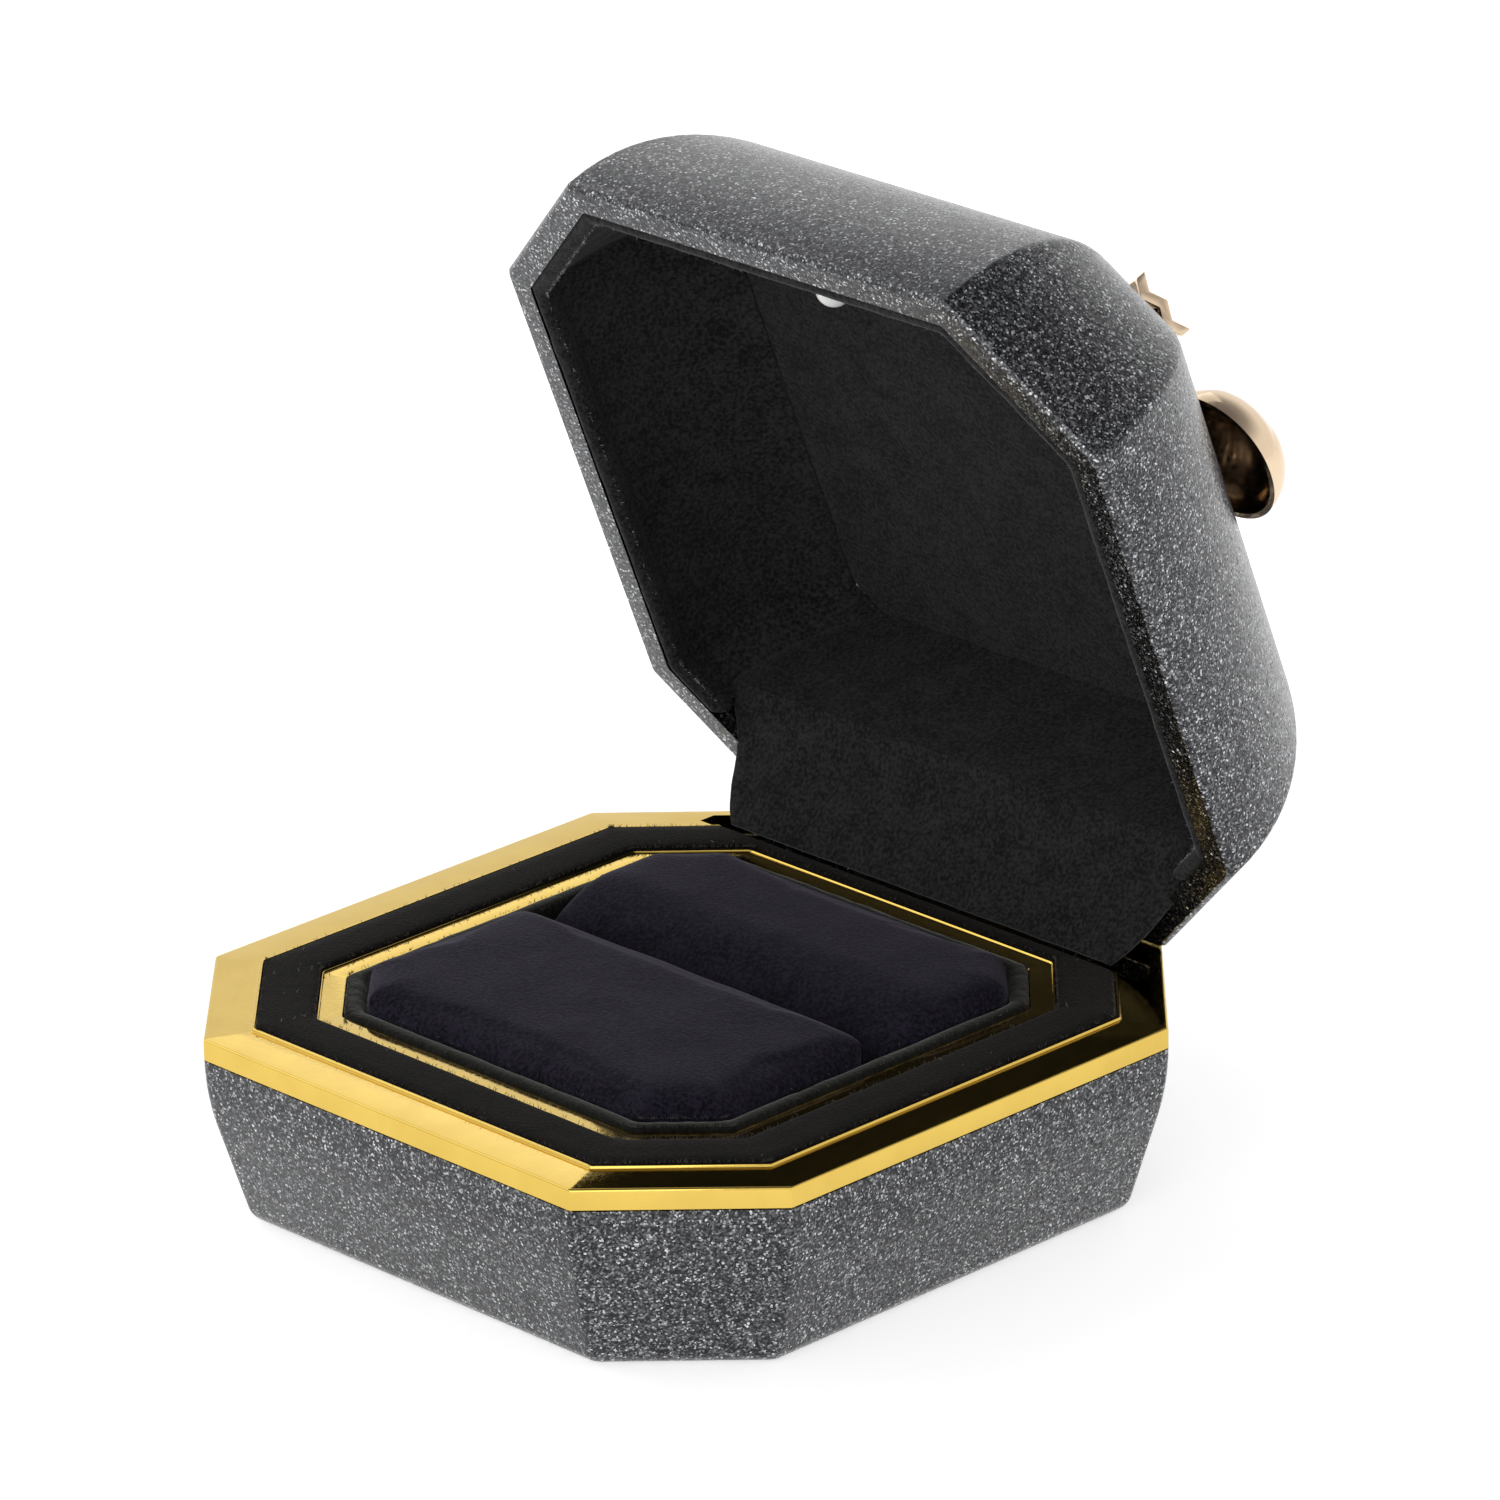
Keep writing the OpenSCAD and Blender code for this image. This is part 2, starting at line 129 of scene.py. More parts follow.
def block(x0, x1, y0, y1, z0, z1):
    """A rectangular block between two limits on each axis."""
    bm = bmesh.new()
    bmesh.ops.create_cube(bm, size=1)
    size = Vector((x1 - x0, y1 - y0, z1 - z0)) * MM
    middle = Vector((x0 + x1, y0 + y1, z0 + z1)) * MM / 2
    bm.transform(Matrix.Translation(middle) @ Matrix.Diagonal(size.to_4d()))
    return bm


def prism(points, z0, z1):
    """An upright prism over an outline of X and Y pairs."""
    return loft([[Vector((x, y, z)) for x, y in points] for z in (z0, z1)], cap=True)


def lathe(profile, start, segments=64):
    """A solid of revolution: profile is radius and distance pairs along its axis, which runs back
    from start, along +Y."""
    bm = bmesh.new()
    loops = []
    for radius, distance in profile:
        if radius < 1e-6:
            loops.append([bm.verts.new((0, 0, distance))])
        else:
            loops.append([bm.verts.new((radius * math.cos(a), radius * math.sin(a), distance))
                          for a in (2 * math.pi * i / segments for i in range(segments))])
    for low, high in zip(loops, loops[1:]):
        for i in range(segments):
            j = (i + 1) % segments
            corners = [low[i % len(low)], low[j % len(low)], high[j % len(high)],
                       high[i % len(high)]]
            bm.faces.new(list(dict.fromkeys(corners)))
    bm.transform(Matrix.Scale(MM, 4))
    backwards = Matrix.Rotation(math.radians(-90), 4, "X")
    bm.transform(Matrix.Translation(Vector(start) * MM) @ backwards)
    bmesh.ops.recalc_face_normals(bm, faces=bm.faces)
    return bm


def to_object(name, bm):
    """A new object of the scene, made from a bmesh, which is used up."""
    mesh = bpy.data.meshes.new(name)
    bm.to_mesh(mesh)
    bm.free()
    obj = bpy.data.objects.new(name, mesh)
    bpy.context.scene.collection.objects.link(obj)
    return obj


def applied(obj):
    """Replaces the object's mesh with what its modifiers make of it."""
    depsgraph = bpy.context.evaluated_depsgraph_get()
    mesh = bpy.data.meshes.new_from_object(obj.evaluated_get(depsgraph), depsgraph=depsgraph)
    obj.modifiers.clear()
    old = obj.data
    obj.data = mesh
    bpy.data.meshes.remove(old)
    return obj


def cut_away(obj, *cutters):
    """Cuts each bmesh out of the object, one after another."""
    for bm in cutters:
        tool = to_object("cutter", bm)
        modifier = obj.modifiers.new("cut", "BOOLEAN")
        modifier.operation = "DIFFERENCE"
        modifier.solver = "EXACT"
        modifier.object = tool
        applied(obj)
        bpy.data.objects.remove(tool)
    return obj


def add_solid(obj, bm):
    """Adds a bmesh, which is used up, to the object's mesh as a solid of its own."""
    added = bpy.data.meshes.new("added")
    bm.to_mesh(added)
    bm.free()
    joined = bmesh.new()
    joined.from_mesh(obj.data)
    joined.from_mesh(added)
    joined.to_mesh(obj.data)
    joined.free()
    bpy.data.meshes.remove(added)


def shade(obj, angle):
    """Smooth shading, broken at edges sharper than the angle, in degrees."""
    bm = bmesh.new()
    bm.from_mesh(obj.data)
    for face in bm.faces:
        face.smooth = True
    for edge in bm.edges:
        sharp = len(edge.link_faces) == 2 and edge.calc_face_angle(0) > math.radians(angle)
        edge.smooth = not sharp
    bm.to_mesh(obj.data)
    bm.free()


def finish_piece(obj, material, slot, body, *nodes, angle=32):
    """Shades the piece, dresses it and rides it on its body; lid pieces are turned open first."""
    if body == "lid":
        obj.data.transform(OPENED)
    shade(obj, angle)
    obj.data.materials.clear()
    obj.data.materials.append(material)
    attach(obj, body)
    if nodes:
        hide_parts(*nodes)
    return obj


def ruffle(obj, size, amount, seed=0.0):
    """Moves each vertex along its normal by smooth noise; size and amount in millimetres."""
    moves = [v.normal * (noise.noise(v.co / (size * MM) + Vector((seed, 0, 0))) * amount * MM)
             for v in obj.data.vertices]
    for v, move in zip(obj.data.vertices, moves):
        v.co += move


# ---------------------------------------------------------------- materials

def node_adder(tree):
    """A function that adds a node to the tree; its inputs are given as values or as outputs of
    other nodes."""
    def add(kind, inputs=None, **properties):
        node = tree.nodes.new("ShaderNode" + kind)
        for key, value in properties.items():
            setattr(node, key, value)
        for key, value in (inputs or {}).items():
            if isinstance(value, bpy.types.NodeSocket):
                tree.links.new(value, node.inputs[key])
            else:
                node.inputs[key].default_value = value
        return node
    return add


def node_material(name, **settings):
    """A Principled material: returns it, a function that adds a node, and its shader."""
    material = bpy.data.materials.new(name)
    material.use_nodes = True
    shader = material.node_tree.nodes["Principled BSDF"]
    for socket, value in settings.items():
        shader.inputs[socket.replace("_", " ")].default_value = value
    return material, node_adder(material.node_tree), shader


def connect(shader, socket, output):
    """Links an output to one of the shader's sockets."""
    shader.id_data.links.new(output, shader.inputs[socket])


def ramp(add, factor, stops):
    """A colour ramp through (place, grey or colour) stops."""
    node = add("ValToRGB", {"Fac": factor})
    elements = node.color_ramp.elements
    while len(elements) < len(stops):
        elements.new(0.5)
    for element, (place, value) in zip(elements, stops):
        element.position = place
        element.color = (*value, 1) if isinstance(value, tuple) else (value, value, value, 1)
    return node.outputs["Color"]


def glitter_paint():
    """Graphite paint full of small silver flakes, each tilted its own way, under a clear coat."""
    material, add, shader = node_material(
        "graphite_glitter_paint", Metallic=0.92, Roughness=0.27, Coat_Weight=0.15,
        Coat_Roughness=0.14)
    place = add("TexCoord").outputs["Object"]
    flakes = add("TexVoronoi", {"Vector": place, "Scale": 6300.0})
    split = add("SeparateColor", {"Color": flakes.outputs["Color"]})
    tone = ramp(add, split.outputs["Red"], [
        (0.0, (0.018, 0.019, 0.021)), (0.45, (0.050, 0.051, 0.054)),
        (0.80, (0.150, 0.152, 0.157)), (0.94, (0.36, 0.365, 0.37)), (1.0, (0.76, 0.77, 0.78))])
    cloud = add("TexNoise", {"Vector": place, "Scale": 1500.0, "Detail": 2.0})
    tint = ramp(add, cloud.outputs["Fac"], [(0.3, 0.74), (0.7, 1.0)])
    mixed = add("MixRGB", {"Fac": 1.0, "Color1": tone, "Color2": tint}, blend_type="MULTIPLY")
    connect(shader, "Base Color", mixed.outputs["Color"])
    tilt = add("VectorMath", {0: flakes.outputs["Color"], 1: (0.5, 0.5, 0.5)},
               operation="SUBTRACT")
    steep = add("MapRange", {"Value": split.outputs["Blue"], "From Min": 0.72, "From Max": 1.0,
                             "To Min": 0.20, "To Max": 0.85})
    scaled = add("VectorMath", {0: tilt.outputs["Vector"], "Scale": steep.outputs["Result"]},
                 operation="SCALE")
    facing = add("NewGeometry").outputs["Normal"]
    summed = add("VectorMath", {0: scaled.outputs["Vector"], 1: facing}, operation="ADD")
    unit = add("VectorMath", {0: summed.outputs["Vector"]}, operation="NORMALIZE")
    connect(shader, "Normal", unit.outputs["Vector"])
    return material


def plated(name, colour, worn, roughness=0.07):
    """Polished plating: fine polishing marks in its gloss, a slight ripple and darker patches."""
    material, add, shader = node_material(name, Metallic=1.0)
    place = add("TexCoord").outputs["Object"]
    patches = add("TexNoise", {"Vector": place, "Scale": 260.0, "Detail": 3.0})
    tone = ramp(add, patches.outputs["Fac"], [(0.35, worn), (0.62, colour)])
    connect(shader, "Base Color", tone)
    marks = add("TexNoise", {"Vector": place, "Scale": 2400.0, "Detail": 4.0})
    gloss = add("MapRange", {"Value": marks.outputs["Fac"], "From Min": 0.3, "From Max": 0.75,
                             "To Min": roughness * 0.6, "To Max": roughness * 1.9})
    connect(shader, "Roughness", gloss.outputs["Result"])
    ripple = add("Bump", {"Height": marks.outputs["Fac"], "Strength": 0.02,
                          "Distance": 0.0002})
    connect(shader, "Normal", ripple.outputs["Normal"])
    return material


def velvet(name, dark, light, sheen, tint):
    """Short-pile velvet: brushed patches, a fine pile in the bump and a soft sheen at its edges."""
    material, add, shader = node_material(
        name, Roughness=0.95, Specular_IOR_Level=0.12, Sheen_Weight=sheen,
        Sheen_Roughness=0.42, Sheen_Tint=(*tint, 1))
    place = add("TexCoord").outputs["Object"]
    brushed = add("TexNoise", {"Vector": place, "Scale": 330.0, "Detail": 5.0,
                               "Roughness": 0.62, "Distortion": 0.6})
    pile = add("TexNoise", {"Vector": place, "Scale": 3300.0, "Detail": 3.0})
    both = add("Math", {0: brushed.outputs["Fac"], 1: 0.28}, operation="MULTIPLY")
    total = add("Math", {0: pile.outputs["Fac"], 1: 0.72, 2: both.outputs["Value"]},
                operation="MULTIPLY_ADD")
    connect(shader, "Base Color", ramp(add, total.outputs["Value"],
                                       [(0.40, dark), (0.60, light)]))
    bump = add("Bump", {"Height": pile.outputs["Fac"], "Strength": 0.55, "Distance": 0.00012})
    soft = add("Bump", {"Height": brushed.outputs["Fac"], "Strength": 0.16, "Distance": 0.0003,
                        "Normal": bump.outputs["Normal"]})
    connect(shader, "Normal", soft.outputs["Normal"])
    return material


def simple(name, dark, light, scale, roughness, bump=0.1, stretch=(1, 1, 1), **settings):
    """A plain material with grain: two tones, varied gloss and a fine bump."""
    material, add, shader = node_material(name, **settings)
    place = add("Mapping", {"Vector": add("TexCoord").outputs["Object"], "Scale": stretch})
    grain = add("TexNoise", {"Vector": place.outputs["Vector"], "Scale": scale, "Detail": 4.0})
    connect(shader, "Base Color", ramp(add, grain.outputs["Fac"], [(0.35, dark), (0.65, light)]))
    gloss = add("MapRange", {"Value": grain.outputs["Fac"], "To Min": roughness * 0.8,
                             "To Max": roughness * 1.2})
    connect(shader, "Roughness", gloss.outputs["Result"])
    raised = add("Bump", {"Height": grain.outputs["Fac"], "Strength": bump, "Distance": 0.0001})
    connect(shader, "Normal", raised.outputs["Normal"])
    return material


PAINT = glitter_paint()
# Pale fibres: real lint specks on the velvet ring, and a painted sheen along the liner's rolled
# edge.
LINT_AND_SHEEN = simple("pale_lint_and_painted_sheen", (0.20, 0.20, 0.21), (0.42, 0.42, 0.43), 900.0, 0.9)
PILE = simple("velvet_pile", (0.020, 0.018, 0.016), (0.085, 0.078, 0.070), 900.0, 0.9)
GOLD = plated("polished_gold", (0.74, 0.515, 0.112), (0.70, 0.48, 0.102))
ROSE = plated("champagne_plating", (0.82, 0.64, 0.45), (0.77, 0.59, 0.41), roughness=0.12)
# One black velvet in two copies. The lid's liner, ceiling, panel and cover get a lighter colour,
# which is painted light in the lid's shade. The ring gets a darker one, which is painted shade
# against the brighter light it gets. Only the ring's slight brown tint is its own colour.
LID_VELVET_PAINTED_LIGHTER = velvet("black_velvet_painted_lighter", (0.0048, 0.0049, 0.0051), (0.0225, 0.0228, 0.0234), 0.12,
                (0.82, 0.82, 0.84))
RING_VELVET_PAINTED_DARKER = velvet("brown_black_velvet_painted_darker", (0.0014, 0.0012, 0.0010), (0.0088, 0.0078, 0.0068),
                     0.07, (0.86, 0.82, 0.78))
PAD = velvet("plum_black_velvet", (0.0020, 0.0017, 0.0040), (0.0150, 0.0122, 0.0230), 0.15,
             (0.80, 0.74, 0.92))
BORDER = velvet("green_black_velvet", (0.0030, 0.0031, 0.0028), (0.0100, 0.0102, 0.0092), 0.28,
                (0.84, 0.86, 0.78))
STEEL = simple("plated_steel", (0.42, 0.42, 0.43), (0.62, 0.62, 0.63), 1500.0, 0.3,
               stretch=(1, 8, 1), Metallic=1.0)
BOARD = simple("grey_board", (0.34, 0.32, 0.28), (0.62, 0.59, 0.53), 2600.0, 0.85, bump=0.4)
BLACK = simple("satin_black_plastic", (0.008, 0.008, 0.009), (0.02, 0.02, 0.022), 3000.0, 0.4)
LENS = simple("milky_lens", (0.86, 0.87, 0.88), (0.96, 0.96, 0.95), 700.0, 0.18, bump=0.03,
              Transmission_Weight=0.15, Subsurface_Weight=0.3, Subsurface_Scale=0.002)


# ---------------------------------------------------------------- base

def base_wall_profile():
    """Inset and height of the painted wall: a rounded foot, a slope and a swell up to the band."""
    slope, swell, foot = math.radians(16), 22.0, 1.8
    foot_inset = (swell * (1 - math.cos(slope)) + foot * math.cos(slope)
                  + math.tan(slope) * (BAND_Z - swell * math.sin(slope)
                                       - foot * (1 - math.sin(slope))))
    points = [(foot_inset - foot * math.sin(a), foot * (1 - math.cos(a)))
              for a in (math.radians(74) * i / 7 for i in range(8))]
    points += [(swell * (1 - math.cos(a)), BAND_Z + swell * math.sin(a))
               for a in (-slope + slope * i / 10 for i in range(11))]
    return points


outer = [ring(e, z, 1.1) for e, z in base_wall_profile()]
outer[-1] = ring(0.12, BAND_Z, 1.0)
outer.insert(-1, ring(0.0, BAND_Z - 0.1, 1.0))
inner = [ring(e, z, 1.0) for e, z in (
    (BASE_WALL, BAND_Z), (BASE_WALL, 12), (2.15, 8.5), (4.0, 2.9), (5.5, 1.7), (9.0, 1.7))]
bottom = [shrunk(outer[0], s) for s in (0.3, 0.7, 0.97)]
base = to_object("base_painted", loft(bottom + outer + inner, cap=True))
cut_away(base, block(-HINGE_HALF, HINGE_HALF, 28, HALF - BASE_WALL, 9, BAND_Z + 0.1))
finish_piece(base, PAINT, "paint", "base", "base_shell", angle=40)

rim_profile = [(0.0, BAND_Z + 0.03), (0.0, RIM_Z - 0.22), (0.05, RIM_Z - 0.09),
               (0.14, RIM_Z - 0.02), (0.25, RIM_Z), (3.62, RIM_Z), (3.68, RIM_Z + 0.04),
               (3.70, RIM_Z + 0.18), (3.74, RIM_Z + 0.24), (3.82, RIM_Z + 0.26),
               (3.90, RIM_Z + 0.24), (3.95, RIM_Z + 0.18), (3.95, RIM_Z - 0.8),
               (8.6, RIM_Z - 0.8), (8.6, BAND_Z + 0.03), (2.6, BAND_Z + 0.03), (2.6, 12.2),
               (1.4, 12.2), (1.4, BAND_Z + 0.03)]
rim = to_object("rim_polished", loft([ring(e, z, 0.45) for e, z in rim_profile], closed=True))
slot_inset = 1.1  # of the slot in the rim, from the outside of the box
slot_y = VELVET_BACK + 0.05
slot_half, slot_back = 24.6, HALF - slot_inset
corner_sum = (DIAG - slot_inset) * math.sqrt(2)  # X plus Y along the slot's cut corners
slot_right = [(slot_half, slot_y), (slot_half, corner_sum - slot_half),
              (corner_sum - slot_back, slot_back)]
cut_away(rim, prism(slot_right + [(-x, y) for x, y in reversed(slot_right)], 12, LID_Z + 1),
         block(-HINGE_HALF, HINGE_HALF, slot_y, HALF + 5, 12, LID_Z + 1))
finish_piece(rim, GOLD, "gold", "base", "gold_rim", angle=30)

ring_profile = [(3.99, RIM_Z - 0.76), (3.99, RIM_Z + 0.08), (4.08, RIM_Z + 0.26),
                (4.28, RIM_Z + 0.36), (5.4, RIM_Z + VELVET_UP), (6.8, RIM_Z + VELVET_UP),
                (8.05, RIM_Z + 0.38), (8.4, RIM_Z + 0.30), (8.58, RIM_Z + 0.12),
                (8.62, RIM_Z - 0.76)]
velvet_ring = to_object("ring_velvet", loft([ring(e, z, 0.7, side=34) for e, z in ring_profile],
                                            closed=True))
ruffle(velvet_ring, 0.55, 0.02)
cut_away(velvet_ring, block(-40, 40, VELVET_BACK - 0.25, 40, 0, 40))
finish_piece(velvet_ring, RING_VELVET_PAINTED_DARKER, "velvet", "base", "velvet_ring", angle=50)

strip_profile = [(8.65, RIM_Z - 0.9), (8.65, RIM_Z - 0.02), (8.68, RIM_Z + 0.05),
                 (8.72, RIM_Z + 0.07), (8.77, RIM_Z + 0.05), (8.80, RIM_Z - 0.01),
                 (8.86, RIM_Z - 0.07), (10.52, RIM_Z - 0.07), (10.62, RIM_Z - 0.10),
                 (10.68, RIM_Z - 0.19), (10.70, RIM_Z - 0.9), (10.1, RIM_Z - 0.9), (10.1, 6.5),
                 (9.3, 6.5), (9.3, RIM_Z - 0.9)]
strip = to_object("strip_polished", loft([ring(e, z, 0.7) for e, z in strip_profile],
                                         closed=True))
finish_piece(strip, GOLD, "gold", "base", "inner_strip", angle=30)

border_profile = [(10.74, RIM_Z - 1.2), (10.74, RIM_Z - 0.06), (10.86, RIM_Z + 0.12),
                  (11.2, RIM_Z + 0.25), (11.75, RIM_Z + 0.23), (12.1, RIM_Z + 0.08),
                  (12.3, RIM_Z - 0.35), (12.36, RIM_Z - 1.2)]
border = to_object("border_velvet", loft([ring(e, z, 1.7, side=24) for e, z in border_profile],
                                         closed=True))
ruffle(border, 0.8, 0.07, 4.0)
finish_piece(border, BORDER, "pad_velvet", "base", "pad_border", angle=60)


def even_out(obj, voxel):
    """Rebuilds a closed mesh with even faces; voxel in millimetres."""
    remesh = obj.modifiers.new("even", "REMESH")
    remesh.mode = "VOXEL"
    remesh.voxel_size = voxel * MM
    return applied(obj)


def puff(obj, cap, pressure):
    """Inflates a closed mesh as cloth over foam, at ten times its size, lets no point move further
    than cap, in millimetres, and smooths the result."""
    grow = 10
    obj.data.transform(Matrix.Scale(grow, 4))
    before = [v.co.copy() for v in obj.data.vertices]
    cloth = obj.modifiers.new("swell", "CLOTH")
    cloth.settings.use_pressure = True
    cloth.settings.uniform_pressure_force = pressure
    cloth.settings.effector_weights.gravity = 0
    for step in range(1, 21):
        bpy.context.scene.frame_set(step)
    applied(obj)
    bpy.context.scene.frame_set(1)
    for v, start in zip(obj.data.vertices, before):
        move = v.co - start
        if move.length > cap * MM * grow:
            move *= cap * MM * grow / move.length
        v.co = start + move
    obj.data.transform(Matrix.Scale(1 / grow, 4))
    smooth = obj.modifiers.new("smooth", "SUBSURF")
    smooth.levels = smooth.render_levels = 1
    return applied(obj)


PAD_IN = 12.45  # inset of the pad from the outside of the box
PAD_FOOT = 6.6
PAD_TOP = RIM_Z + 2.1
SLOT = (0.4, 3.2)  # the front and rear edge of the slot's mouth, between the velvet
CORNER_R = 1.4  # of the pad's corners at the ends of the slot


def from_slot(y, rear):
    """How far a place on one half of the pad is from the slot."""
    return y - SLOT[1] if rear else SLOT[0] - y


def pad_height(x, y, rear):
    """Height of the pad's top: full and crowned, steep at the border; the front half keeps a lip
    at the slot, and the rear half falls softly into it."""
    inset = max(abs(x), abs(y), (abs(x) + abs(y)) / math.sqrt(2) + HALF - DIAG)
    side = max(0.0, HALF - PAD_IN - inset)
    slot = max(0.0, from_slot(y, rear))
    top = PAD_TOP - 0.9 * math.exp(-side / 0.5) - 0.6 * math.exp(-side / 2.5)
    if rear:
        return top - 2.9 * (1 - min(1.0, slot / 7.0)) ** 2 - 0.3 * math.exp(-slot / 0.4)
    return top - 0.35 * math.exp(-slot / 0.45)


def rounded_end(co, rear):
    """Draws the pad's corners at the ends of the slot in to a round outline."""
    across = abs(co.x) / MM - (HALF - PAD_IN - CORNER_R)
    into = CORNER_R - from_slot(co.y / MM, rear)
    reach = math.hypot(across, into)
    if across > 0 and into > 0 and reach > CORNER_R:
        pull = CORNER_R / reach
        co.x -= math.copysign(across * (1 - pull) * MM, co.x)
        co.y += into * (1 - pull) * MM * (1 if rear else -1)


def pad_half(name, rear):
    """One half of the pad: a block of foam pulled to its crowned height and covered in velvet."""
    levels = [ring(PAD_IN, z, 1.4, side=8)
              for z in (PAD_FOOT, PAD_FOOT + 0.5, PAD_TOP - 0.5, PAD_TOP)]
    half = to_object(name, loft(levels, cap=True))
    cut_from, cut_to = (-30, SLOT[1]) if rear else (SLOT[0], 30)
    cut_away(half, block(-30, 30, cut_from, cut_to, 0, 30))
    even_out(half, 0.4)
    for v in half.data.vertices:
        rounded_end(v.co, rear)
        top = pad_height(v.co.x / MM, v.co.y / MM, rear)
        v.co.z = (PAD_FOOT * MM
                  + (v.co.z - PAD_FOOT * MM) * (top - PAD_FOOT) / (PAD_TOP - PAD_FOOT))
    puff(half, 0.22, 2.0)
    ruffle(half, 5.0, 0.10, 2.0 if rear else 7.0)
    node = "pad_rear" if rear else "pad_front"
    finish_piece(half, PAD, "pad_velvet", "base", node, angle=80)


pad_half("pad_half_front", False)
pad_half("pad_half_rear", True)


# ---------------------------------------------------------------- lid

def shoulder(radius, start, a):
    """Inset and height of the lid's round shoulder, at an angle from its upright wall."""
    return start + radius * (1 - math.cos(a)), SHOULDER_Z + radius * math.sin(a)


def lid_ring(e, z):
    """A loop of the lid, whose corners get rounder towards its top."""
    return ring(e, z, 0.55 + 0.045 * (z - LID_Z))


steps = [math.radians(4 * i) for i in range(1, 23)] + [math.radians(90)]
inside = [lid_ring(*shoulder(LID_R - WALL, WALL, a)) for a in reversed(steps)]
rim_face = [lid_ring(e, z) for e, z in (
    (WALL, LID_Z + 1.3), (2.3, LID_Z + 1.3), (2.3, LID_Z + 0.12), (2.34, LID_Z + 0.03),
    (2.44, LID_Z), (0.44, LID_Z), (0.34, LID_Z + 0.02), (0.05, LID_Z + 0.31),
    (0.0, LID_Z + 0.42))]
outside = [lid_ring(*shoulder(LID_R, 0, a)) for a in steps]
under = [shrunk(inside[0], s) for s in (0.3, 0.7, 0.97)]
over = [shrunk(outside[-1], s, 0.04) for s in (0.97, 0.7, 0.3)]
lid = to_object("lid_painted", loft(under + inside + rim_face + outside + over, cap=True))
heel_turn = math.radians(88.5)  # lays the heel cut behind and below the pin, lid open
heel = block(-60, 60, 0, 6, 0, 6)
heel.transform(Matrix.Translation(PIN) @ Matrix.Rotation(OPEN - heel_turn, 4, "X"))
cut_away(lid, block(-HINGE_HALF, HINGE_HALF, HALF - 4, HALF + 9, 0, LID_Z + 1.6), heel)
add_solid(lid, block(-7, 7, 29.13, 30.5, LID_Z + 1.7, LID_Z + 7.4))  # behind its hinge leaf
finish_piece(lid, PAINT, "paint", "lid", "lid_shell", angle=40)


VELVET_R = 18.4  # of the velvet's side walls
LINER_R = 19.9  # of the liner's hidden back


def side_wall(t):
    """Inset of the velvet's side walls, at a height t above the lid's rim."""
    return LID_R - math.sqrt(VELVET_R ** 2 - (t - 1) ** 2)


def corner_wall(t):
    """The same for the corner walls, which stand off the shell a little more near the top."""
    return 3.1 + 0.0215 * (t - 1) ** 2 + 0.014 * max(0.0, t - 11) ** 2


bead = [(2.36, 1.28), (2.36, 0.5), (2.45, 0.2), (2.7, 0.03), (3.05, 0.0), (3.4, 0.14),
        (3.63, 0.5), (3.7, 1.0), (3.45, 1.6)]
liner_rings = [ring(e, LID_Z + t, 0.9, side=26) for e, t in bead]
liner_rings += [ring(side_wall(t), LID_Z + t, 1.3, corner_wall(t), side=26)
                for t in (2.0, 2.6, 3.5, 4.6, 5.8, 7.0, 8.2, 9.4, 10.6, 11.8, 13.0, 14.2, 15.2)]
for t in (15.25, 10.0, 6.0, 2.0, 1.32):
    e = 1.62 + LINER_R * (1 - math.cos(math.asin((t - 1) / LINER_R)))
    liner_rings.append(ring(e, LID_Z + t, 0.9, min(e, corner_wall(t) - 0.3), side=26))
liner = to_object("liner_velvet", loft(liner_rings, closed=True))
ruffle(liner, 1.3, 0.09, 11.0)
lamp_hole = lathe([(0, 0), (2.35, 0), (2.35, 14), (0, 14)], (0, -34, LID_Z + LAMP_T))
cut_away(liner, block(-60, 60, PANEL_Y + 0.85, 60, 0, 60), lamp_hole)
finish_piece(liner, LID_VELVET_PAINTED_LIGHTER, "velvet", "lid", "lid_liner", angle=50)

ceiling_in, ceiling_corner_in = 8.9, 6.5  # insets of its edge at the side and corner walls
ceiling_rings = [ring(ceiling_in + i, LID_Z + CEILING_T + up, 1.3, ceiling_corner_in + i, side=14)
                 for i, up in ((0.6, 0.95), (0, 0.3), (0.25, 0.08), (0.8, 0.0), (2.0, -0.03))]
ceiling_rings += [shrunk(ceiling_rings[-1], s, -0.02) for s in (0.85, 0.65, 0.4, 0.15)]
ceiling_rings.insert(0, shrunk(ceiling_rings[0], 0.4))
ceiling = to_object("ceiling_velvet", loft(ceiling_rings, cap=True))
ruffle(ceiling, 4.0, 0.12, 3.0)
finish_piece(ceiling, LID_VELVET_PAINTED_LIGHTER, "velvet", "lid", "lid_ceiling_panel", angle=60)


def slab(name, stations, across=44):
    """A soft-edged sheet of board that runs through stations: each gives the Y and Z of its front
    face, the direction of its front face, its half width and its thickness."""
    rings = []
    for y, z, ny, nz, half, thick in stations:
        front, out = Vector((0, y, z)), Vector((0, ny, nz)).normalized()
        back = front - out * thick
        r = thick / 2
        line = [Vector((-half + r + (2 * (half - r)) * i / across, 0, 0))
                for i in range(across + 1)]
        loop = [front + p for p in line]
        for a in (45, 0, -45):
            loop.append(Vector((half - r + r * math.cos(math.radians(a)), 0, 0))
                        + front - out * (r - r * math.sin(math.radians(a))))
        loop += [back + p for p in reversed(line)]
        for a in (-45, 0, 45):
            loop.append(Vector((-half + r - r * math.cos(math.radians(a)), 0, 0))
                        + front - out * (r - r * math.sin(math.radians(a))))
        rings.append(loop)
    return to_object(name, loft(rings, cap=True))


def panel_half(t):
    """Half width of the back panel at a height t: it reaches just into the corner walls."""
    tuck = 0.2
    return (DIAG - corner_wall(t)) * math.sqrt(2) - PANEL_Y + tuck


panel_foot = 3.15
heights = [panel_foot + (CEILING_T - 0.03 - panel_foot) * i / 20 for i in range(21)]
panel = slab("panel_velvet", [(PANEL_Y, LID_Z + t, -1, 0, panel_half(t), 0.8)
                              for t in heights])
ruffle(panel, 3.5, 0.12, 6.0)
finish_piece(panel, LID_VELVET_PAINTED_LIGHTER, "velvet", "lid", "lid_back_panel", angle=60)


